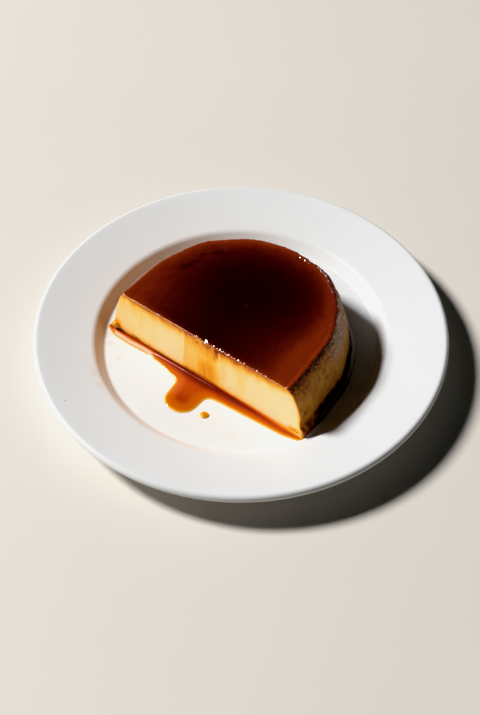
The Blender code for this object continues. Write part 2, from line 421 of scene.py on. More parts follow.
def fillSteps(outline, longest):
    # Adds points along the straight runs so that no step is longer than this
    steps = np.maximum(np.ceil(np.linalg.norm(np.diff(outline, axis=0), axis=1) / longest), 1)
    shares = np.concatenate([np.arange(count) / count + start for start, count
                             in enumerate(steps.astype(int))] + [[len(outline) - 1]])
    return np.stack([np.interp(shares, np.arange(len(outline)), outline[:, axis]) for axis in (0, 1)], -1)


def plateProfile():
    # Radius and height from the middle of the floor, out over the lip and back under to the axis
    lip = plate["thickness"] / 2
    centre = np.array([plate["radius"] - lip, plate["lipMiddle"]])
    shoulder = plate["shoulder"]
    slope = math.atan2(centre[1] + lip - shoulder[1], centre[0] - shoulder[0])
    angle = slope + np.linspace(math.pi / 2, -math.pi / 2, plate["lipSteps"] + 1)
    roll = centre + lip * np.stack([np.cos(angle), np.sin(angle)], -1)
    top = rounded([(0.5, floorZ), (plate["floorEdge"], floorZ, plate["floorFillet"]),
                   (*shoulder, plate["rimFillet"]), tuple(roll[0])], plate["cornerSteps"])
    outer, inner, ring = plate["footOuter"], plate["footInner"], plate["footRound"]
    under = rounded([
        tuple(roll[-1]),
        (shoulder[0] + plate["underShoulder"], shoulder[1] - plate["thickness"], plate["underFillet"]),
        (outer, plate["footHeight"], ring),
        (outer - plate["footTaper"], 0.0, ring),
        (inner, 0.0, ring),
        (inner - plate["footTaper"], plate["footHeight"], ring),
        (0.5, plate["footHeight"]),
    ], plate["cornerSteps"] // 2)
    return fillSteps(np.vstack([top[:-1], roll, under[1:]]), plate["longest"])


def spots(tree, place, marks):
    # Sum of soft round marks on the plate, each at full strength in its middle and 0 at its edge
    flat = add(tree, "VectorMath", {0: place, 1: (1.0, 1.0, 0.0)}, operation="MULTIPLY").outputs[0]
    total = 0.0
    for x, y, size, strength in marks:
        away = add(tree, "VectorMath", {0: flat, 1: (x * mm, y * mm, 0.0)}, operation="DISTANCE")
        mark = add(tree, "MapRange", {"Value": away.outputs["Value"], "From Min": size * mm,
                                      "From Max": size * mm * plate["markCore"], "To Max": strength},
                   interpolation_type="SMOOTHSTEP").outputs[0]
        total = maths(tree, "ADD", total, mark)
    return total


def glazeMaterial():
    # White glaze, faintly uneven, with a few dried smears of caramel
    material, tree, shader, place = startMaterial("white glaze")
    body = mixed(tree, grain(tree, place, 28.0, 2.0), plate["glaze"], plate["glazeDeep"])
    broken = maths(tree, "MULTIPLY", grain(tree, place, 3.0, 3.0), plate["smearBreak"])
    smear = maths(tree, "MULTIPLY", spots(tree, place, plate["smears"]), broken)
    marked = mixed(tree, smear, body, plate["smearColour"])
    plug(tree, shader, {
        "Base Color": mixed(tree, spots(tree, place, plate["specks"]), marked, plate["speckColour"]),
        "Roughness": spread(tree, grain(tree, place, 9.0, 4.0), plate["roughness"]),
    })
    bump(tree, shader, grain(tree, place, 14.0, 1.0), 0.05)
    return material


def makePlate():
    # The profile turned about the upright axis, with sin(2 angle) for the rise and fall of the rim
    profile = plateProfile()
    angle = fullTurn(plate["columns"])
    radius, height = profile[:, :1], profile[:, 1:]
    outside = smoothStep(plate["waveStart"], plate["radius"], radius)
    lift = plate["rimWave"] * np.sin(2 * angle + 0.7) * outside
    rings = np.stack([radius * np.cos(angle), radius * np.sin(angle), height + lift], -1)
    piece = gridPiece("plate_glazed", rings, glazeMaterial())
    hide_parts("plate")


# Custard: the pale baked body, with a wrinkled brown skin on the wall and a smooth knife cut
custard = {
    "rows": 88,
    "topSink": 1.3,                         # the custard ends this far under the caramel's top
    "capSink": 0.9,
    "capRows": 5,
    "capMiddle": 5.0,                       # y of the middle that the hidden top and foot close on
    "footLift": 0.05,
    "wrinkleDepth": 0.50,
    "wrinkleSize": (5.4, 5.4, 4.2),
    "wrinkleWidth": 0.20,
    "wrinkleBend": (2.4, 7.0),              # how far the wrinkles wander, and over what length
    "fineWrinkles": (2.6, 0.13, 0.6),       # size, width and strength of the finer ones
    "crinkleTop": (3.0, 13.0),              # the wrinkles set in between these depths under the top,
    "crinkleTopBehind": (4.0, 9.0),         # and lower by this much behind
    "bulgeDepth": 0.35,
    "bulgeSize": 9.0,
    "ledgeRough": 0.75,
    "ledgeSize": 2.6,
    "pits": 260,
    "pitSizes": (0.6, 1.5),
    "pitDepth": 0.30,
    "knifeDepth": 0.05,
    "cutSwell": 0.18,
    "cutPits": 22,
    "cutPitSizes": (0.3, 0.8),
    "cutPitDepth": 0.20,
    "crumbDepth": 0.35,                     # the cut is crumbly at its foot, from here to the right
    "crumbStart": (58.0, 70.0),
    "crumbTop": (3.0, 9.0),
    # Colours of the cut from dry cream to soaked dark amber
    "soakColours": [(0.00, 253, 195, 152), (0.15, 252, 193, 134), (0.30, 248, 178, 86),
                    (0.45, 236, 157, 34), (0.60, 206, 128, 24), (0.75, 172, 90, 20),
                    (0.88, 132, 53, 12), (1.00, 88, 24, 6)],
    "skinColours": [(0.00, 238, 164, 54), (0.30, 212, 128, 28), (0.55, 168, 84, 15),
                    (0.78, 104, 42, 9), (1.00, 50, 18, 4)],
    "paintedReflectionColour": display(252, 212, 176),   # painted reflection of the lit plate on the upper wall behind on the right
    "paintedReflectionHeights": (19.0, 34.0),
    "roughness": 0.44,
    "skinRoughness": 0.06,                  # the skin is rougher by this much
    "specular": 0.15,
    "subsurface": 0.35,
    "subsurfaceRadius": (1.0, 0.42, 0.14),
    "subsurfaceScale": 3.2,
    "grainDepth": 0.16,
    # Stain of the wall: all over, where crinkled, in cracks, in pits, in streaks, under the caramel
    "skinStain": 0.16,
    "crinkleStain": 0.12,
    "crackStain": 0.52,
    "pitStain": 0.20,
    "streakStain": 0.13,
    "patchStain": (0.09, 7.0),              # strength and size of broad patches
    "rimStain": 0.30,
    "ledgeStainAndShade": (0.34, 0.60),             # of the ledge in front, and how much painted shade it gains behind, where the foot lies in shadow
    # How far caramel has soaked into the cut: all over, along its foot, at its right edge, and
    # mottled under the middle of the caramel
    "soak": 0.13,
    "soakLeft": (26.0, 50.0, 0.07),         # it gains to the left: start, end and amount
    "soakRight": (30.0, 62.0, 0.06),        # and loses to the right
    "footSoak": 0.30,
    "footMiddle": (-3.0, 24.0, 0.24),       # more of it here: x, half width, amount
    "footRight": (10.0, 60.0, 0.22),        # and less to the right: start, end and amount
    "footReach": 1.8,
    "edgeSoak": 0.30,
    "raggedSoak": 0.22,
    "raggedPlace": (9.0, 22.0),             # x and half width of the mottled stretch
    # Stains on the cut: x, height above the plate, half width, half height, strength
    "stains": [(3.0, 11.0, 7.0, 8.5, 0.24), (29.5, 20.0, 3.6, 13.0, 0.10), (-48.0, 25.0, 0.9, 7.0, 0.10),
               (11.2, 30.5, 1.0, 4.5, 0.24), (9.0, 26.0, 0.8, 3.5, 0.20), (15.5, 19.0, 3.2, 16.0, 0.09),
               (-9.0, 35.6, 0.9, 0.9, 0.40), (-3.5, 32.2, 0.8, 0.8, 0.32), (21.0, 7.2, 0.6, 0.6, 0.36),
               (-69.0, 6.0, 3.8, 4.6, 0.28), (-53.5, 2.4, 3.5, 1.6, 0.30), (69.0, 2.0, 4.2, 3.6, 0.38)],
    "mainStain": (-13.4, 12.3, 0.24),       # left and right edge of the broad amber stain, strength
    # Soaked band under the caramel: x, strength, how far down it reaches
    "topSoak": [(-72.0, 0.28, 3.4), (-50.0, 0.52, 4.8), (-14.5, 0.56, 5.8), (-8.0, 0.22, 6.8),
                (9.0, 0.30, 7.2), (14.0, 0.62, 5.8), (25.0, 0.60, 6.0), (48.0, 0.56, 5.4),
                (68.0, 0.40, 4.0)],
}


def pitField(points, count, low, high, sizes, seed):
    # Depth 0 to 1 of round pits scattered in a box: the largest of 1 - (distance / size)^2
    random = np.random.default_rng(seed)
    centres = random.uniform(low, high, (count, 3))
    reach = random.uniform(*sizes, count)
    depth = np.zeros(points.shape[:-1])
    for centre, size in zip(centres, reach):
        away = np.sum((points - centre) ** 2, axis=-1) / size ** 2
        depth = np.maximum(depth, np.clip(1.0 - away, 0.0, 1.0))
    return depth


def wallCracks(points):
    # Crinkled skin: 1 along winding lines where a bent noise passes through zero
    bend, over = custard["wrinkleBend"]
    bent = points + bend * np.stack([noise(points, over, seed) for seed in (21, 22, 23)], -1)
    lines = np.abs(noise(bent, custard["wrinkleSize"], 24, 2))
    size, width, strength = custard["fineWrinkles"]
    finer = strength - strength * smoothStep(0.0, width, np.abs(noise(bent, size, 25)))
    return np.maximum(1.0 - smoothStep(0.0, custard["wrinkleWidth"], lines), finer)


def custardSoak(points, height):
    # How far caramel has soaked into the cut, from 0 for dry cream to 1 for dark amber: a slow
    # drift along the face, fading bands under the caramel and over the foot, and the named stains
    x = points[..., 0]
    rag = noise(points * (1.0, 0.0, 0.35), 5.0, 31, 3)
    fine = noise(points * (1.0, 0.0, 0.6), 1.6, 32, 2)
    below = flan["height"] - height
    soak = custard["soak"] + 0.025 * rag
    soak += gain(custard["soakLeft"], -x) - gain(custard["soakRight"], x)
    strength, reach = table(custard["topSoak"], x)
    fade = 1.0 + (below / (reach * (1.0 + 0.22 * rag))) ** 4
    soak += strength * (1.0 + 0.12 * fine) / fade + 0.05 * smoothStep(-17.0, -7.0, -below)
    # Under the middle of the caramel the band is mottled brown
    ragged = noise(points * (1.0, 0.0, 1.0), (3.4, 3.4, 2.0), 33, 3)
    middle = hump(x, *custard["raggedPlace"], 4)
    soak += custard["raggedSoak"] * ragged * middle * smoothStep(-7.5, -4.5, -below)
    atX, wide, amount = custard["footMiddle"]
    foot = custard["footSoak"] + amount * hump(x, atX, wide) - gain(custard["footRight"], x)
    soak += foot * np.exp(-(height - 1.5).clip(0.0) / (custard["footReach"] + 0.6 * rag).clip(0.5))
    # The broad amber stain has a firm left border that drifts left lower down
    left, right, strength = custard["mainStain"]
    drift = left - 2.0 * smoothStep(5.0, 30.0, below) + 0.7 * rag
    main = smoothStep(-0.7, 0.7, x - drift) * (1.0 - smoothStep(-3.5, 2.5, x - right - 0.8 * rag))
    main = main * (1.0 + 0.35 * smoothStep(-5.0, 1.0, x) * smoothStep(20.0, 26.0, height))
    soak += strength * main * (0.85 + 0.25 * noise(points * (1.0, 0.0, 0.12), 2.6, 34, 2))
    for atX, atZ, wide, tall, amount in custard["stains"]:
        shape = np.exp(-np.abs((x - atX + 0.6 * rag) / wide) ** 3 - np.abs((height - atZ) / tall) ** 3)
        soak += amount * shape
    return np.clip(soak + 0.015 * fine, 0.0, 1.0)


def custardMaterial():
    # Moist baked custard that light sinks into; the wall is a stained skin, with a painted reflection of
    # the lit plate behind on the right
    material, tree, shader, place = startMaterial("baked custard")
    uneven = mottle(tree, place, 2.2, 4.0, 0.10)
    soak = maths(tree, "MULTIPLY_ADD", uneven, 0.5, named(tree, "soak"))
    stain = maths(tree, "MULTIPLY_ADD", uneven, 1.6, named(tree, "stain"))
    skin = named(tree, "skin")
    body = mixed(tree, skin, ramp(tree, soak, custard["soakColours"]),
                 ramp(tree, stain, custard["skinColours"]))
    # The pale attribute mixes in the painted reflection of the lit plate
    plug(tree, shader, {
        "Base Color": mixed(tree, named(tree, "pale"), body, custard["paintedReflectionColour"]),
        "Roughness": maths(tree, "MULTIPLY_ADD", skin, custard["skinRoughness"], custard["roughness"]),
        "Subsurface Weight": custard["subsurface"],
        "Subsurface Radius": custard["subsurfaceRadius"],
        "Subsurface Scale": custard["subsurfaceScale"] * mm,
        "IOR": 1.42,
        "Specular IOR Level": custard["specular"],
    })
    # The cut has a quarter of the skin's relief
    depth = maths(tree, "MULTIPLY_ADD", skin, 0.75, 0.25)
    relief = maths(tree, "MULTIPLY", grain(tree, place, 0.9, 4.0, 0.6), depth)
    bump(tree, shader, relief, custard["grainDepth"])
    return material


def paintedReflectionZone(points):
    # 1 on the part of the wall behind on the right that is painted pale, a painted reflection of the lit
    # plate
    return smoothStep(38.0, 54.0, points[..., 0]) * smoothStep(-4.0, 14.0, points[..., 1])


def makeCustard():
    # The flan's rings, each point moved along its normal: on the wall by bulges, cracks, pits and
    # the lumpy ledge, and on the cut by a slow swell, the marks of the knife and small pits
    top = flan["height"] - custard["topSink"]
    height = np.linspace(custard["footLift"], top, custard["rows"])[:, None] + 0.0 * ringCut
    rings = ringPoints(height)
    normal = ringNormals(rings)
    wall = 1.0 - ringCut + 0.0 * height
    # The wall is crinkled below its shoulder and lumpy along the ledge
    cracks = wallCracks(rings)
    behind = smoothStep(-20.0, 40.0, rings[..., 1])
    below = flan["height"] - height
    (near, far), (nearGain, farGain) = custard["crinkleTop"], custard["crinkleTopBehind"]
    crinkled = smoothStep(-far - farGain * behind, -near - nearGain * behind,
                          5.0 * noise(rings, 13.0, 41) - below)
    crinkled = np.maximum(crinkled, 0.6 * smoothStep(0.15, 0.6, noise(rings, 8.0, 52)))
    ledge = smoothStep(-10.0, -5.5, -height - 1.5 * noise(rings, 6.0, 42))
    lumps = noise(rings, custard["ledgeSize"], 43, 3)
    pits = pitField(rings, custard["pits"], custardLow, custardHigh, custard["pitSizes"], 44)
    relief = custard["bulgeDepth"] * noise(rings, custard["bulgeSize"], 45, 2)
    relief -= custard["wrinkleDepth"] * cracks * (0.08 + 0.92 * crinkled) * (1.0 - ledge)
    relief += custard["ledgeRough"] * ledge * lumps - custard["pitDepth"] * pits
    # The marks of the knife run upright
    x = rings[..., 0]
    onCut = np.array([1.0, 0.0, 1.0])
    face = custard["knifeDepth"] * noise(rings * (1.0, 0.0, 0.06), 1.1, 46, 2)
    face += custard["cutSwell"] * noise(rings * onCut, 22.0, 47)
    cutPits = pitField(rings * onCut, custard["cutPits"], custardLow * onCut,
                       custardHigh * (1.0, 1e-9, 1.0), custard["cutPitSizes"], 48)
    face -= custard["cutPitDepth"] * cutPits
    low, high = custard["crumbTop"]
    crumbly = smoothStep(*custard["crumbStart"], x) * smoothStep(-high, -low, -height)
    face += custard["crumbDepth"] * crumbly * noise(rings, 2.0, 49, 2)
    rings = rings + normal * (wall * relief + (1.0 - wall) * face)[..., None]
    # Rings that shrink to the middle close the foot and the hidden top
    shrink = np.linspace(0.95, 0.1, custard["capRows"])[:, None, None]
    centre = np.array([flan["crownX"], custard["capMiddle"], 0.0])
    flat = np.array([1.0, 1.0, 0.0])
    foot = rings[0] * (1 - flat) + (centre + (rings[0] - centre) * shrink[::-1]) * flat
    cap = rings[-1] * (1 - flat) + (centre + (rings[-1] - centre) * shrink) * flat
    cap -= (0.0, 0.0, custard["capSink"])
    # The skin is brown in its cracks and pits, along the ledge and right under the caramel; behind, the
    # ledge is painted darker still, painted shade where the foot lies in shadow
    streaks = noise(rings * (1.0, 1.0, 0.25), 2.4, 51, 3)
    front, more = custard["ledgeStainAndShade"]
    stain = custard["skinStain"] + custard["crinkleStain"] * crinkled + custard["pitStain"] * pits
    stain += custard["crackStain"] * cracks * (0.06 + 0.94 * crinkled)
    patch, size = custard["patchStain"]
    stain += patch * noise(rings, size, 50, 3) + custard["streakStain"] * streaks
    # Behind, the ledge gains painted shade where the foot lies in shadow
    stain += ledge * (front + more * smoothStep(-29.0, -16.0, rings[..., 1]) + 0.18 * lumps)
    stain += custard["rimStain"] * smoothStep(-4.5, -1.8, -below)
    # Behind on the right the upper wall is painted pale, a painted reflection of the lit plate, which
    # also lightens its stain
    pale = paintedReflectionZone(rings) * smoothStep(*custard["paintedReflectionHeights"], height) * wall
    pale *= (0.8 + 0.5 * noise(rings, 2.0, 53, 2)) * (1.0 - 0.5 * cracks)
    stain -= 0.4 * pale * stain
    edge = np.exp(-(flan["right"] - wallInset(height, 1.0) - x).clip(0.0) / 1.4)
    soak = custardSoak(rings, height) + 0.25 * cutPits * (1.0 - wall) + custard["edgeSoak"] * edge
    extra = ((custard["capRows"],) * 2, (0, 0))
    attributes = {label: np.pad(values.clip(0.0, 1.0), extra, mode="edge") for label, values
                  in (("skin", wall), ("stain", stain), ("pale", pale), ("soak", soak))}
    piece = gridPiece("custard_body", np.concatenate([foot, rings, cap]), custardMaterial(),
                      attributes)
    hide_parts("custard")
    return piece


# Caramel: the dark glossy layer over the top, with a beaded lip along the cut
caramel = {
    "wallDrop": 1.0,                        # how far it runs down the wall
    "wallRag": 0.9,
    "cutDrop": 1.35,
    "cutRag": 0.45,
    "film": 0.14,                           # how far it stands out from the wall, and the cut
    "cutFilm": 0.30,
    "cutLumps": 0.13,
    "tuck": (0.25, 0.2),                    # its lower edge sinks into the wall and the cut by this
    "rimLumps": 0.28,
    "rimLumpsBehind": 2.4,                  # they grow behind on the right by this share
    "sideRows": 20,
    "topRows": 56,
    "topCrowd": 1.6,                        # above 1 the rows of the top crowd near its rim
    "middle": (4.0, 6.0),                   # they shrink towards here, and the hidden underside
    "underside": 6.5,                       # lies this far under the top
    "dish": 0.30,                           # the top dips this much towards its middle
    "lipRound": 0.5,
    "lipFall": 0.45,
    "lipReach": 1.2,
    "beadSlope": (1.25, 6.0),               # width of a bead's sloping patch, as a share of the bead,
    "beadSlopeStart": (0.5, 2.0),           # and its length; where it begins, and more for big ones
    "lipRipple": (1.6, 0.15),               # length and height of small swellings along the lip
    "knobSize": 2.0,                        # fine knobs on the rim behind on the right
    "knobRise": 0.45,
    "rimRise": 0.34,                        # how far the round rim stands above the dish
    "rimUneven": (0.35, 0.6),               # unevenness of that all round, and more on the right
    "bandBack": 3.5,                        # width of the paler band along the rim behind
    "bandFront": 9.0,                       # and how much it gains at the left and right in front
    "bandRight": 9.0,
    "bandSlow": (0.06, 17.0),               # its width varies by this share over this length,
    "bandQuick": (0.7, 6.0),                # and by this much more over a shorter one
    "deepen": 0.0092,                       # darkening per millimetre inside the band, and behind
    "deepenBack": 0.017,
    # Beads of syrup on the lip: x, size, half width
    "beads": [(2.4, 0.75, 1.6), (8.4, 0.40, 0.7), (13.2, 0.44, 0.7), (15.6, 0.40, 0.6),
              (19.8, 0.42, 0.7), (26.8, 0.40, 0.7), (31.2, 0.40, 0.6), (40.5, 0.34, 0.6),
              (47.0, 0.30, 0.5), (-4.5, 0.22, 0.7), (-11.0, 0.16, 0.6), (-23.0, 0.15, 0.6),
              (-33.5, 0.17, 0.7), (-44.0, 0.15, 0.6), (-52.5, 0.15, 0.6)],
    # Small flat spots on the rim behind that catch the light: x, y, half width
    "facets": [(7.2, 52.3, 1.5), (10.9, 52.0, 1.5), (14.6, 51.6, 1.1), (20.0, 50.0, 1.2),
               (25.4, 48.2, 1.3), (28.6, 46.7, 1.1), (31.4, 45.3, 1.2), (35.2, 43.1, 1.1),
               (40.2, 40.5, 1.1), (62.2, -9.4, 0.7), (63.4, -19.0, 0.7)],
    "facetDepth": 0.50,
    "facetSlope": (0.196, 0.522),           # rise per millimetre of x and y; mirrors the key light
    # Small bumps on the surface: x, y, size, height
    "bumps": [(4.8, -0.8, 1.6, 0.22), (-14.6, -6.4, 1.3, 0.14), (-13.4, -9.0, 1.0, 0.10),
              (0.2, 9.4, 1.2, 0.10), (20.0, 18.4, 1.2, 0.09), (62.0, -10.5, 0.8, 0.14),
              (60.5, 4.2, 0.8, 0.14), (55.0, 16.4, 0.9, 0.12), (-2.0, -6.2, 1.0, 0.10)],
    # how much paler the bumps are painted, a painted highlight
    "bumpPaintedGlint": 1.6,
    "rimDark": 0.10,                        # darkness at the rim
    "rimDarkRight": (20.0, 55.0, 0.08),     # it gains at the right: start, end and amount
    "rimDarkBehind": (-5.0, 30.0, 0.13),    # and behind
    "bandDark": 0.24,                       # darkness of the even band inside the rim
    "bandStep": (-4.0, 2.0, 0.03),          # a last step at the band's inner side
    "deepenMost": 0.52,                     # the most that it gains further in
    "leftDark": (10.0, 50.0, 0.02),         # it gains a little to the left, and in streaks
    "streakDark": 0.022,
    "lipPale": (0.62, 1.7),                 # how much paler it gets at the lip, and over what way
    "foldWay": (9.5, 3.0),                  # the fold's way from the rim, and how far it wanders
    "foldWide": 1.3,
    "foldDark": 0.10,
    "wallDark": (0.16, 0.22),               # added on the wall's film: all over, and ragged
    # the film on that part of the wall is painted paler, part of the same painted reflection
    "paintedReflectionFilm": 0.12,
    "colours": [(0.00, 228, 154, 64), (0.05, 184, 96, 28), (0.10, 140, 54, 14), (0.17, 124, 38, 10),
                (0.23, 114, 34, 9), (0.28, 102, 26, 8), (0.33, 84, 17, 7), (0.40, 64, 9, 6),
                (0.48, 50, 6, 5), (0.60, 36, 5, 4), (0.75, 22, 4, 3), (1.00, 14, 3, 3)],
    "roughness": (0.05, 0.12),
    "specular": 0.42,
    "sideRoughness": 0.28,                  # the film on the wall is duller by this much
}


def rimDistance(points):
    # Distance on the flat from each point to the caramel's round rim, leaving out the cut. Far
    # inside, a soft least distance, -4 log(sum of exp(-distance / 4)), keeps it free of creases.
    rimX, rimY = flanOutline(flan["height"], evenTurns(260, 0.0, 1.0))
    spacing = np.hypot(np.diff(rimX), np.diff(rimY)).mean()
    least = np.full(points.shape[:-1], 1e9)
    total = np.zeros(points.shape[:-1])
    for x, y in zip(rimX, rimY):
        away = np.hypot(points[..., 0] - x, points[..., 1] - y)
        least = np.minimum(least, away)
        total += np.exp(-away / 4.0)
    soft = -4.0 * np.log(total * spacing / np.sqrt(8.0 * np.pi * least.clip(2.0)))
    return least + (soft - least) * smoothStep(3.0, 16.0, least)


def caramelDepth(points):
    # Darkness of the layer: thin and pale at the rim, then an even band, then deeper by a fixed
    # amount for every millimetre inwards. The band is wide in front and narrow behind.
    flat = levelled(points)
    x, y = points[..., 0], points[..., 1]
    away = rimDistance(points)
    right = smoothStep(-15.0, 15.0, x)
    band = caramel["bandBack"] + caramel["bandFront"] * (1.0 - right) * smoothStep(-4.0, 40.0, -y)
    band += caramel["bandRight"] * right * smoothStep(-36.0, 22.0, -y)
    (share, length), (quick, short) = caramel["bandSlow"], caramel["bandQuick"]
    band = band * (1.0 + share * noise(flat, length, 62, 2)) + quick * noise(flat, short, 64, 2)
    deep = away - band
    # A soft turn from 0 outside to the distance inside: half of deep + sqrt(deep^2 + 6), less 0.4
    inside = (0.5 * (deep + np.sqrt(deep ** 2 + 6.0)) - 0.4).clip(0.0)
    steep = caramel["deepen"] + caramel["deepenBack"] * smoothStep(-30.0, 40.0, y)
    steep *= 0.65 + 0.35 * smoothStep(-46.0, -14.0, x)
    streak = noise(flat, (3.2, 7.0, 1.0), 61, 3)
    start = caramel["rimDark"] + gain(caramel["rimDarkRight"], x)
    start += gain(caramel["rimDarkBehind"], y) * smoothStep(-15.0, 20.0, x)
    most = caramel["deepenMost"]
    depth = start + (caramel["bandDark"] - start) * smoothStep(0.0, 3.0, away)
    depth += most * np.tanh(steep * inside / most)
    depth += gain(caramel["bandStep"], deep) + gain(caramel["leftDark"], -x)
    depth += caramel["streakDark"] * streak
    depth -= 0.03 * smoothStep(20.0, 50.0, x) * smoothStep(-4.0, 1.0, -deep)
    # A fold in the film runs beside the left rim
    way, wander = caramel["foldWay"]
    fromFold = away - way - wander * noise(flat, 10.0, 63, 3)
    fold = hump(fromFold, 0.0, caramel["foldWide"]) * smoothStep(0.0, 10.0, -x - 22.0)
    fold *= smoothStep(-4.0, 2.0, y) * smoothStep(-36.0, -28.0, -y)
    depth += caramel["foldDark"] * fold * (1.0 + streak)
    # Along the cut the layer thins towards its lip
    pale, reach = caramel["lipPale"]
    return depth * (1.0 - pale * np.exp(-((y - cutY) / reach).clip(0.0)))


def caramelMaterial():
    # Clear dark gloss over a depth that the mesh carries
    material, tree, shader, place = startMaterial("dark caramel")
    depth = maths(tree, "ADD", named(tree, "depth"), mottle(tree, place, 5.0, 4.0, 0.05, 0.6))
    rough = spread(tree, grain(tree, place, 6.0, 3.0), caramel["roughness"])
    plug(tree, shader, {
        "Base Color": ramp(tree, depth, caramel["colours"]),
        "Roughness": maths(tree, "MULTIPLY_ADD", named(tree, "side"), caramel["sideRoughness"], rough),
        "IOR": 1.45,
        "Specular IOR Level": caramel["specular"],
    })
    bump(tree, shader, grain(tree, place, 3.5, 2.0), 0.04)
    return material


def lipSink(points):
    # How far the lip over the cut lies below the level top: lipFall * exp(-way in / reach), with
    # small swellings, and at each bead a patch that slopes evenly down to the front left
    x, inward = points[..., 0], (points[..., 1] - cutY).clip(0.0)
    length, rise = caramel["lipRipple"]
    slopeX, slopeY = caramel["facetSlope"]
    ripple = rise * noise(np.stack([x, inward, 0.0 * x], -1), length, 77, 2)
    sink = (caramel["lipFall"] - ripple) * np.exp(-inward / caramel["lipReach"])
    (share, way), (start, more) = caramel["beadSlope"], caramel["beadSlopeStart"]
    for atX, size, wide in caramel["beads"]:
        patch = hump(x, atX, share * wide, 4) * (inward < way)
        fall = slopeX * (x - atX) + slopeY * (inward - start - more * size)
        sink += patch * (-np.minimum(fall, 0.0) - sink)
    return sink


def caramelSide():
    # Rows of the film from its lower edge on the wall and the cut up to the top's rim
    tall = flan["height"]
    rim = ringPoints(np.array([[tall]]))[0]
    drop = (1 - ringCut) * (caramel["wallDrop"] + caramel["wallRag"] * noise(rim, 3.4, 71, 3))
    drop += ringCut * (caramel["cutDrop"] + caramel["cutRag"] * noise(rim, 2.6, 73, 2))
    rise = np.linspace(0.0, 1.0, caramel["sideRows"])[:, None]
    height = tall - drop * (1.0 - rise) ** 1.35
    # The film is full in the middle of its height and sinks into the custard at its lower edge
    full = smoothStep(0.0, 0.35, rise)
    behind = smoothStep(-10.0, 15.0, rim[:, 0]) * smoothStep(-5.0, 20.0, rim[:, 1])
    lumps = caramel["rimLumps"] * noise(rim, 2.2, 72, 2) * (1.0 + caramel["rimLumpsBehind"] * behind)
    wallTuck, cutTuck = caramel["tuck"]
    film = full * (caramel["film"] + lumps) - wallTuck * (1.0 - full)
    # Its upper edge over the cut is rolled, a quarter circle that bends back under the beads
    bend = caramel["lipRound"]
    sink = lipSink(rim + np.array([0.0, bend - 0.3, 0.0])) * ringCut
    height = height - sink
    over = np.clip(height - (tall - sink - bend), 0.0, bend)
    lump = caramel["cutLumps"] * noise(rim, 2.4, 74, 2)
    for atX, size, wide in caramel["beads"]:
        lump = lump + size * hump(rim[:, 0], atX, wide) * (ringCut > 0.5)
    curl = bend - np.sqrt(bend ** 2 - over ** 2)
    cutFilm = full * (caramel["cutFilm"] + lump) - curl - cutTuck * (1.0 - full)
    return ringPoints(height, film * (1.0 - smoothStep(0.7, 1.0, rise) * 0.6), cutFilm)


def caramelTop(flat):
    # Height of the top: a shallow dish with a raised uneven rim, less the sunken lip over the cut
    away = rimDistance(flat)
    ground = levelled(np.dstack([flat, away]))
    z = topZ - caramel["dish"] * smoothStep(0.0, 45.0, away)
    z -= 0.05 * (1.0 - noise(ground, 11.0, 75, 2)) / 2
    allRound, more = caramel["rimUneven"]
    uneven = allRound * noise(ground, 3.0, 78, 2)
    uneven += more * noise(ground, 1.9, 80) * smoothStep(5.0, 30.0, flat[..., 0])
    z -= caramel["rimRise"] * smoothStep(0.3, 1.4, away) * (1.0 + uneven * np.exp(-away / 2.5))
    z -= lipSink(flat)
    # Behind on the right the rim is finely knobbed
    knobs = (0.5 + 0.5 * noise(ground, caramel["knobSize"], 79)) * np.exp(-away / 1.6)
    behind = smoothStep(0.0, 20.0, flat[..., 0]) * smoothStep(5.0, 25.0, flat[..., 1])
    z -= caramel["knobRise"] * knobs.clip(0.0, 1.0) * behind
    for atX, atY, size, rise in caramel["bumps"]:
        apart = ((flat[..., 0] - atX) ** 2 + (flat[..., 1] - atY) ** 2) / size ** 2
        z += rise * np.exp(-2.0 * apart)
    slopeX, slopeY = caramel["facetSlope"]
    for atX, atY, half in caramel["facets"]:
        wayX, wayY = flat[..., 0] - atX, flat[..., 1] - atY
        patch = np.exp(-((wayX ** 2 + wayY ** 2) / half ** 2) ** 2)
        z += patch * (topZ + wayX * slopeX + wayY * slopeY - caramel["facetDepth"] - z)
    return np.minimum(z, topZ)


def makeCaramel():
    # Rows run from the hidden underside, round the lower edge, up the film and in over the top
    side = caramelSide()
    # Over the top, rings shrink from the rim to the middle
    centre = np.array([*caramel["middle"], topZ - caramel["underside"]])
    inward = np.linspace(0.0, 1.0, caramel["topRows"] + 1)[1:-1] ** caramel["topCrowd"]
    shrink = (1.0 - inward)[:, None, None]
    flat = centre[:2] + (side[-1, :, :2] - centre[:2]) * shrink
    top = np.dstack([flat, caramelTop(flat)])
    # The underside lies inside the custard
    under = levelled(side[0]) + (0.0, 0.0, centre[2])
    below = centre + (under - centre) * np.array([0.1, 0.5, 0.9, 0.97])[:, None, None]
    rings = np.concatenate([below, side, top])
    x, y = rings[..., 0], rings[..., 1]
    # The film's hanging edge is thin: pale along the cut, ragged and brown round the wall, and painted
    # paler behind on the right, a painted reflection of the lit plate
    hanging = np.arange(len(rings))[:, None] < len(below) + len(side)
    hang = smoothStep(0.1, 0.9, topZ - rings[..., 2]) * hanging
    depth = caramelDepth(rings) * (1.0 - (0.86 - 0.14 * smoothStep(-10.0, 10.0, x)) * hang * ringCut)
    # Small bubbles and crumbs are painted paler, a painted highlight for their glints
    for atX, atY, size, rise in caramel["bumps"]:
        apart = ((x - atX) ** 2 + (y - atY) ** 2) / (0.6 * size) ** 2
        depth -= caramel["bumpPaintedGlint"] * rise * np.exp(-apart) * (1.0 - hanging)
    even, ragged = caramel["wallDark"]
    paintedReflection = paintedReflectionZone(rings)
    dark = (even + ragged * noise(rings, 2.0, 76, 2)) * (1.0 - paintedReflection) - caramel["paintedReflectionFilm"] * paintedReflection
    depth += hang * (1.0 - ringCut) * dark
    attributes = {"depth": depth.clip(0.0, 1.0), "side": hang * (1.0 - ringCut)}
    piece = gridPiece("caramel_layer", rings, caramelMaterial(), attributes)
    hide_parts("caramel_top")
    return piece


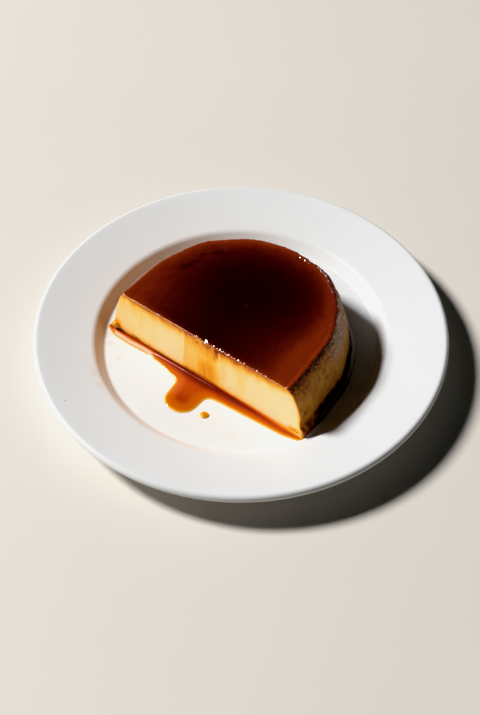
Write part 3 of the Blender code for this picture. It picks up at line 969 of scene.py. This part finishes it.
# Sauce: a shallow pool round the foot, with one tongue in front and one drop
sauce = {
    "ring": 1.8,                            # width round the wall, and how much it gains at the right
    "ringSwell": 0.6,
    "middle": (0.0, 10.0),                  # every line across the pool points away from here
    "tongueLeft": -10.4,
    "tongueRight": 10.2,
    "tongueTip": -69.4,
    "columns": 1150,
    "wallRows": 22,                         # closely spaced rows beside the wall, then the rest
    "edgeRows": 22,
    "wallStrip": 5.5,
    "edgeReach": 1.6,                       # the edge rises over this way, left of the tongue steeper
    "edgeSlope": 0.92,
    "edgeHeight": 1.12,
    "fullHeight": 1.25,
    "climb": 1.0,                           # how high the pool climbs the wall, and the cut
    "cutClimb": -0.6,
    "climbReach": 1.1,
    "climbUneven": (0.25, 7.0),             # unevenness of the climb, and its length
    # Along the left half of the cut lies a raised bead: x, its ridge's way from the cut and the
    # width of the slope in front of it. Left of the turn the slope runs to the pool's own edge.
    "bank": [(-38.0, 2.6, 1.2), (-31.0, 2.3, 0.6), (12.0, 2.1, 0.4)],
    "bankSlope": 0.9,
    "bankTurn": (34.0, 42.0),
    "bankStart": 0.9,                       # that slope's start, its width and the low edge outside it
    "bankWidth": 1.7,
    "bankFoot": 0.4,
    # Where the pool meets the cut it runs thin: x, amount and width
    "contact": [(-60.0, 0.45, 0.9), (-8.0, 0.62, 0.9), (2.0, 0.90, 1.0), (10.0, 0.70, 0.9),
                (20.0, 0.82, 1.0), (40.0, 0.92, 1.4), (60.0, 1.15, 2.0)],
    "bankRipple": (4.0, 0.05),              # length and height of its swellings
    "bankRoughness": 0.12,
    "tuck": 0.8,                            # how far it runs in under the custard's edge
    "sink": 0.15,
    "cutDark": 0.34,                        # darkness in front, how much the ring behind gains (deeper sauce, and painted shade where it lies in the flan's shadow), and how much it gains inwards and along the cut
    "ringDeepAndShade": 0.50,                       # how much it gains inwards and along the cut
    "innerDark": 0.17,
    "nearDark": (0.16, 0.44),               # broad and close to the wall
    "nearReach": (7.0, 3.6, 1.9),           # their reach, and how much the close one gains around
    "nearMiddle": (8.0, 26.0),              # this x, over this half width
    "thinLeft": (32.0, 42.0),               # the pool gets thin between these distances left of x = 0
    "thinPale": (0.22, 0.34),               # and paler by this, and by this more in front
    # paleness painted along the ridge line: a thinner layer there, and a painted highlight
    "ridgeThinAndHighlight": 0.30,
    "tipDark": 0.12,
    "colours": [(0.00, 236, 204, 122), (0.07, 222, 154, 30), (0.20, 208, 120, 8),
                (0.38, 188, 88, 4), (0.58, 162, 56, 2), (0.78, 122, 26, 2),
                (1.00, 88, 8, 1)],
    "roughness": 0.09,
    "specular": 0.27,
}
# The pool's front edge from right to left: x, y, rounding
poolFront = [
    (76.6, -33.0), (76.4, -42.3, 4.5), (64.0, -45.2, 30.0), (20.0, -47.8, 25.0),
    (sauce["tongueRight"] + 0.8, -48.9, 4.5), (sauce["tongueRight"], sauce["tongueTip"], 10.2),
    (sauce["tongueLeft"], sauce["tongueTip"], 9.6), (sauce["tongueLeft"] - 2.2, -49.6, 3.6),
    (-30.0, -45.8, 30.0), (-42.0, -44.1, 15.0), (-56.0, -44.8, 15.0), (-68.5, -44.4, 6.0),
    (-76.1, -40.6, 2.0), (-75.2, -35.0),
]


def evenLoop(points, count):
    # The closed outline resampled at even steps along its length
    closed = np.vstack([points, points[:1]])
    length = np.concatenate([[0.0], np.cumsum(np.linalg.norm(np.diff(closed, axis=0), axis=1))])
    at = np.linspace(0.0, length[-1], count, endpoint=False)
    return np.stack([np.interp(at, length, closed[:, axis]) for axis in (0, 1)], -1)


def poolOutline():
    # Front edge, then the ring's outer edge from the left round the back
    turn = np.linspace(flan["sideShare"], 1.0 - flan["sideShare"], 400)
    x, y = flanOutline(0.0, turn)
    along = np.gradient(np.stack([x, y], -1), axis=0)
    along /= np.linalg.norm(along, axis=1, keepdims=True)
    width = sauce["ring"] + sauce["ringSwell"] * np.clip((x - flan["crownX"]) / 70.0, -1.0, 1.0)
    back = np.stack([x, y], -1) + np.stack([-along[:, 1], along[:, 0]], -1) * width[:, None]
    return evenLoop(np.vstack([rounded(poolFront, 10), back]), sauce["columns"])


def loopDistance(points, loop, reach):
    # Distance from grid points to a closed outline, searched this many columns either side
    least = np.full(points.shape[:-1], 1e9)
    following = np.roll(loop, -1, axis=0)
    for shift in range(-reach, reach + 1):
        start, end = np.roll(loop, shift, axis=0), np.roll(following, shift, axis=0)
        way = end - start
        share = np.clip(np.sum((points - start) * way, -1) / np.sum(way ** 2, -1), 0.0, 1.0)
        least = np.minimum(least, np.sum((points - start - way * share[..., None]) ** 2, -1))
    return np.sqrt(least)


def sauceMaterial(name, colours):
    # Thin clear syrup, duller where the mesh says so
    material, tree, shader, place = startMaterial(name)
    depth = maths(tree, "ADD", named(tree, "depth"), mottle(tree, place, 3.0, 3.0, 0.06))
    plug(tree, shader, {
        "Base Color": ramp(tree, depth, colours),
        "Roughness": maths(tree, "MULTIPLY_ADD", named(tree, "dull"), sauce["bankRoughness"],
                           sauce["roughness"]),
        "Specular IOR Level": sauce["specular"],
        "IOR": 1.4,
    })
    bump(tree, shader, grain(tree, place, 6.0, 1.0), 0.03)
    return material


def poolHeight(flat, edge, wall, ring):
    # Height of the pool and where it is dull. It rises as 1 - exp(-way from the edge), left of the
    # tongue as a straight slope, then is nearly level, and climbs as exp(-way) up the flan's wall.
    x, y = flat[..., 0], flat[..., 1]
    ground = levelled(np.dstack([flat, edge]))
    swell, rise = sauce["bankRipple"]
    ripple = rise * noise(ground, swell, 82)
    steep = smoothStep(9.0, 15.0, -x) * (1.0 - ring)
    straight = np.tanh(sauce["edgeSlope"] * edge / sauce["edgeHeight"] * (1.0 + 3.0 * ripple))
    height = sauce["edgeHeight"] * (1.0 - np.exp(-edge / sauce["edgeReach"])) * (1.0 - steep)
    height += sauce["edgeHeight"] * straight * steep
    height += (sauce["fullHeight"] - sauce["edgeHeight"]) * smoothStep(0.5, 7.0, edge)
    bank = smoothStep(-74.0, -70.0, x) * smoothStep(-18.0, -10.0, -x) * (y < cutY + 1.0)
    climb = sauce["cutClimb"] + (sauce["climb"] - sauce["cutClimb"]) * ring
    uneven, length = sauce["climbUneven"]
    climb = climb * (1.0 - bank) * (1.0 + uneven * noise(ground, length, 81, 2))
    height += climb * np.exp(-wall / sauce["climbReach"]) * smoothStep(0.0, 1.6, edge)
    # The raised bead along the cut
    ridge, width = table(sauce["bank"], x)
    up = ((ridge + width - wall) / width).clip(0.0, 1.0) * smoothStep(0.0, 0.9, wall / ridge)
    height += bank * up * (sauce["bankSlope"] * width + ripple) * smoothStep(0.0, 1.5, edge)
    turned = smoothStep(*sauce["bankTurn"], -x) * (1.0 - ring)
    front = sauce["bankSlope"] * (edge - sauce["bankStart"]).clip(0.0, sauce["bankWidth"])
    front += sauce["bankFoot"] * (1.0 - np.exp(-edge / 0.8)) + ripple * smoothStep(0.3, 1.0, edge)
    front *= 0.45 + 0.55 * smoothStep(0.0, 2.0, wall)
    height += (front - height) * turned
    line = bank * smoothStep(0.0, 0.1, up) * smoothStep(0.9, 1.0, wall / ridge) * (1.0 - turned)
    return height, line, np.maximum(line, bank * turned)


def poolDepth(flat, edge, wall, ring, line):
    # Darkest a little way in front of the cut and in the middle of the tongue's end, pale at
    # the edge and where the layer runs thin at the left. The ring behind is darker still: deeper
    # sauce, and painted shade where it lies in the flan's shadow. The ridge line along the cut is
    # painted paler: a thinner layer, and a painted highlight beside the sheen lamp's reflection
    x, y = flat[..., 0], flat[..., 1]
    # The ring behind is kept dark out to its edge: deeper sauce, and painted shade in the flan's shadow
    depth = sauce["cutDark"] + sauce["ringDeepAndShade"] * ring
    depth *= np.maximum(smoothStep(0.0, 2.6 - 1.8 * ring, edge), 0.8 * ring)
    depth += sauce["innerDark"] * smoothStep(2.0, 9.0, edge)
    broad, close = sauce["nearDark"]
    far, reach, more = sauce["nearReach"]
    wide = reach + more * hump(x, *sauce["nearMiddle"], 4)
    amount, width = table(sauce["contact"], x)
    near = broad * np.exp(-wall / far) + close * hump(wall, 0.0, wide, 3)
    # The ridge line is painted paler: a thinner layer, and a painted highlight
    near -= amount * hump(wall, 0.0, width) + sauce["ridgeThinAndHighlight"] * line
    depth += near * smoothStep(0.2, 2.5, edge)
    tip = hump(y, sauce["tongueTip"] + 10.0, 5.0)
    depth += sauce["tipDark"] * tip * smoothStep(5.0, 9.5, edge)
    thin = smoothStep(*sauce["thinLeft"], -x) * (1.0 - ring)
    pale, more = sauce["thinPale"]
    depth *= 1.0 - thin * (pale + more * smoothStep(1.9, 2.7, wall))
    return depth + 0.10 * thin * smoothStep(0.0, 0.9, edge) * (1.0 - smoothStep(0.9, 2.2, edge))


def makePool():
    # Lines run from under the custard out to the pool's edge, and back beneath it
    middle = np.array(sauce["middle"])
    outer = poolOutline()
    foot = ringPoints(np.array([[0.5]]))[0, :, :2]
    angle = np.arctan2(*(outer - middle).T[::-1])
    footAngle = np.arctan2(*(foot - middle).T[::-1])
    order = np.argsort(footAngle)
    footReach = np.linalg.norm(foot - middle, axis=1)[order]
    reach = np.interp(angle, footAngle[order], footReach, period=2 * np.pi)
    way = np.stack([np.cos(angle), np.sin(angle)], -1)
    inner = middle + way * (reach - sauce["tuck"])[:, None]
    strip = np.minimum(sauce["wallStrip"] / np.linalg.norm(outer - inner, axis=1), 0.6)
    close = np.linspace(0.0, 1.0, sauce["wallRows"])[:, None]
    wideRows = 1.0 - (1.0 - np.linspace(0.0, 1.0, sauce["edgeRows"] + 1)[1:, None]) ** 2.2
    share = np.vstack([strip * close, strip + (1.0 - strip) * wideRows])
    flat = inner + (outer - inner) * share[..., None]
    edge = loopDistance(flat, outer, 70)
    wall = loopDistance(flat, middle + way * reach[:, None], 40)
    ring = smoothStep(-3.0, 4.0, flat[..., 1] - cutY)
    height, line, dull = poolHeight(flat, edge, wall, ring)
    depth = poolDepth(flat, edge, wall, ring, line)
    underShare = np.array([1.0, 0.995, 0.9, 0.6, 0.3, 0.0])[:, None, None]
    under = inner + (outer - inner) * underShare
    bottom = np.dstack([under, np.full(under.shape[:-1], floorZ - sauce["sink"])])
    rings = np.concatenate([np.dstack([flat, floorZ + height]), bottom])
    attributes = {label: np.pad(values, ((0, len(bottom)), (0, 0)), mode="edge")
                  for label, values in (("depth", depth.clip(0.0, 1.0)), ("dull", dull))}
    piece = gridPiece("sauce_pool_syrup", rings, sauceMaterial("caramel sauce", sauce["colours"]),
                      attributes, hollow=True)
    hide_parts("sauce_pool")
    return piece


# The drop beside the tongue
drop = {
    "rows": 18,
    "columns": 72,
    "colours": [(0.00, 244, 210, 120), (0.25, 238, 180, 46), (0.6, 230, 156, 12),
                (1.00, 212, 128, 6)],
}


def makeDrop():
    # A low dome: height is (1 - radius^2)^0.6 of the full height, over a slightly uneven round edge
    centre = (dropLow + dropHigh) / 2
    radius = (dropHigh[0] - dropLow[0]) / 2
    angle = fullTurn(drop["columns"])
    share = np.sin(np.linspace(0.04, 0.5 * np.pi, drop["rows"]))[:, None]
    uneven = radius * (1.0 + 0.04 * np.sin(2 * angle + 1.0) + 0.03 * np.sin(3 * angle))
    tall = dropHigh[2] - floorZ - 0.1
    height = tall * (1.0 - np.clip(share, 0.0, 1.0) ** 2) ** 0.6 + 0.0 * angle
    reach = share * uneven
    top = np.stack([centre[0] + reach * np.cos(angle), centre[1] + reach * np.sin(angle),
                    floorZ + height], -1)
    base = top[-1:] - np.array([0.0, 0.0, sauce["sink"]])
    middle = centre * (1.0, 1.0, 0.0) + np.array([0.0, 0.0, floorZ - sauce["sink"]])
    under = middle + (base - middle) * np.array([0.95, 0.5, 0.1])[:, None, None]
    rings = np.concatenate([top, base, under])
    depth = np.clip((rings[..., 2] - floorZ) / tall, 0.0, 1.0)
    attributes = {"depth": depth, "dull": 0.0}
    piece = gridPiece("sauce_drop_syrup", rings, sauceMaterial("amber sauce", drop["colours"]),
                      attributes)
    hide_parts("sauce_drop")
    return piece


# A bead of syrup at the left corner of the cut
cornerBead = {
    "place": (-69.8, -39.9, 13.8),
    "size": (2.8, 1.8, 2.7),
    "lumps": 0.10,
    "rows": 26,
    "columns": 40,
    "colours": [(0.00, 176, 80, 8), (0.25, 214, 116, 8), (0.55, 240, 152, 24),
                (1.00, 244, 174, 50)],
}


def makeCornerBead():
    # A slightly uneven ellipsoid, darker towards its foot
    turn = fullTurn(cornerBead["columns"])
    tilt = np.linspace(-0.47, 0.47, cornerBead["rows"])[:, None] * np.pi
    ball = np.stack([np.cos(tilt) * np.cos(turn), np.cos(tilt) * np.sin(turn),
                     np.sin(tilt) + 0.0 * turn], -1)
    ball = ball * (1.0 + cornerBead["lumps"] * noise(ball, 0.9, 91))[..., None]
    rings = np.array(cornerBead["place"]) + ball * cornerBead["size"]
    depth = (0.5 + 0.5 * ball[..., 2] + 0.15 * noise(ball, 0.5, 92)).clip(0.0, 1.0)
    return gridPiece("sauce_corner_bead", rings, sauceMaterial("corner syrup", cornerBead["colours"]),
                     {"depth": depth, "dull": 0.0})


# Camera, floor and studio light
studio = {
    "cameraPlace": (0.35008, -0.46464, 0.67858),
    "cameraLook": (-0.38995, 0.51654, -0.76231),
    "lens": 70.49,
    "floorSize": 3.0,
    "floorColour": display(231, 224, 214),
    "floorShade": display(226, 218, 207),
    "floorCloud": 160.0,                    # size of its faint clouds, in millimetres
    "target": (0.0, 0.0, 0.02),             # where the key and gloss lights point
    "keyTravel": 19.0,                      # way the key light travels over the floor, from +X
    "keyHeight": 43.8,                      # its height above the horizon, in degrees
    "keyDistance": 6.0,
    "keySize": 1.3,
    "keyPower": 500.0,
    "fillPlace": (-0.10, -2.4, 0.42),
    "fillTarget": (0.0, 0.0, 0.03),
    "fillSize": (1.6, 0.3),
    "fillPower": 36.0,
    # Two lights that show only as reflections along edges that run with the cut: a narrow one
    # glints on the caramel, a broad one gives the sauce a sheen. Way to the light, size, power
    # and colour
    "glint": ((-0.39, -0.70, 0.59), (1.0, 1.6), 800.0, (1.0, 0.58, 0.30)),
    "sheen": ((-0.475, -0.671, 0.567), (3.8, 2.2), 880.0, (1.0, 0.82, 0.80)),
    "glossDistance": 6.0,
    "world": (0.0015, 0.0015, 0.0012),
    # Film curve: scene light and the brightness shown, with a soft shoulder above 0.8
    "filmCurve": [(0.0, 0.0), (0.4, 0.4), (0.8, 0.8), (0.9, 0.88), (1.05, 0.93), (1.3, 0.965),
                  (2.0, 1.0)],
    "filmBlack": (0.003, 0.0015, 0.0015),
}


def floorMaterial():
    # Plain pale stone colour with a hardly visible cloudiness
    material, tree, shader, place = startMaterial("pale floor")
    cloud = grain(tree, place, studio["floorCloud"], 3.0)
    plug(tree, shader, {"Base Color": mixed(tree, cloud, studio["floorColour"], studio["floorShade"]),
                        "Roughness": 0.6})
    return material


def inScene(name, data, place, look):
    # A lamp or camera at a place, looking this way
    thing = bpy.data.objects.new(name, data)
    thing.location = place
    thing.rotation_euler = Vector(look).to_track_quat("-Z", "Y").to_euler()
    bpy.context.scene.collection.objects.link(thing)
    return thing


def areaLight(name, place, target, size, power, shape, colour=(1.0, 1.0, 1.0)):
    # A flat lamp that points at a target, its size in metres and its power in watts
    light = bpy.data.lights.new(name, "AREA")
    light.shape = shape
    light.size, light.size_y = size
    light.energy = power
    light.color = colour
    return inScene(name, light, place, np.array(target) - np.array(place))


def linkLight(lamp, pieces):
    # The lamp lights only these pieces
    lifted = bpy.data.collections.new(lamp.name + " receivers")
    for piece in pieces:
        lifted.objects.link(piece)
    lamp.light_linking.receiver_collection = lifted


def makeFloor():
    # One flat square under the plate
    half = studio["floorSize"] / 2
    corners = [(-half, -half, 0), (half, -half, 0), (half, half, 0), (-half, half, 0)]
    mesh = bpy.data.meshes.new("studio_floor")
    mesh.from_pydata(corners, [], [(0, 1, 2, 3)])
    mesh.materials.append(floorMaterial())
    floor = bpy.data.objects.new("studio_floor", mesh)
    bpy.context.scene.collection.objects.link(floor)


def setFilm(scene):
    # The standard view with a curve like film's
    view = scene.view_settings
    view.view_transform = "Standard"
    view.use_curve_mapping = True
    film = view.curve_mapping
    film.black_level = studio["filmBlack"]
    film.clip_max_x = studio["filmCurve"][-1][0]
    film.extend = "HORIZONTAL"
    points = film.curves[3].points
    points[0].location, points[1].location = studio["filmCurve"][0], studio["filmCurve"][-1]
    for place in studio["filmCurve"][1:-1]:
        points.new(*place)
    film.update()


def makeStudio(custardPiece, caramelPiece, saucePieces):
    # One key light, a fill for the custard, two gloss lights, a dark world and the camera
    scene = bpy.context.scene
    makeFloor()
    travel, high = math.radians(studio["keyTravel"]), math.radians(studio["keyHeight"])
    target = np.array(studio["target"])
    toKey = np.array([-math.cos(high) * math.cos(travel), -math.cos(high) * math.sin(travel),
                      math.sin(high)])
    areaLight("key", target + toKey * studio["keyDistance"], target, (studio["keySize"],) * 2,
              studio["keyPower"], "DISK")
    # The fill lifts only the custard, so that the shadows on plate and floor stay deep
    fill = areaLight("fill", studio["fillPlace"], studio["fillTarget"], studio["fillSize"],
                     studio["fillPower"], "RECTANGLE")
    linkLight(fill, [custardPiece])
    for name, pieces in (("glint", [caramelPiece]), ("sheen", saucePieces)):
        way, size, power, colour = studio[name]
        place = target + np.array(way) * studio["glossDistance"]
        lamp = areaLight(name, place, target, size, power, "RECTANGLE", colour)
        lamp.visible_diffuse = False
        linkLight(lamp, pieces)
    world = bpy.data.worlds.new("studio")
    world.use_nodes = True
    world.node_tree.nodes["Background"].inputs["Color"].default_value = (*studio["world"], 1.0)
    scene.world = world
    setFilm(scene)
    camera = bpy.data.cameras.new("camera")
    camera.lens = studio["lens"]
    scene.camera = inScene("camera", camera, studio["cameraPlace"], studio["cameraLook"])
    print("set up the floor, the lights and the camera")


makePlate()
custardPiece = makeCustard()
caramelPiece = makeCaramel()
saucePieces = [makePool(), makeDrop(), makeCornerBead()]
makeStudio(custardPiece, caramelPiece, saucePieces)
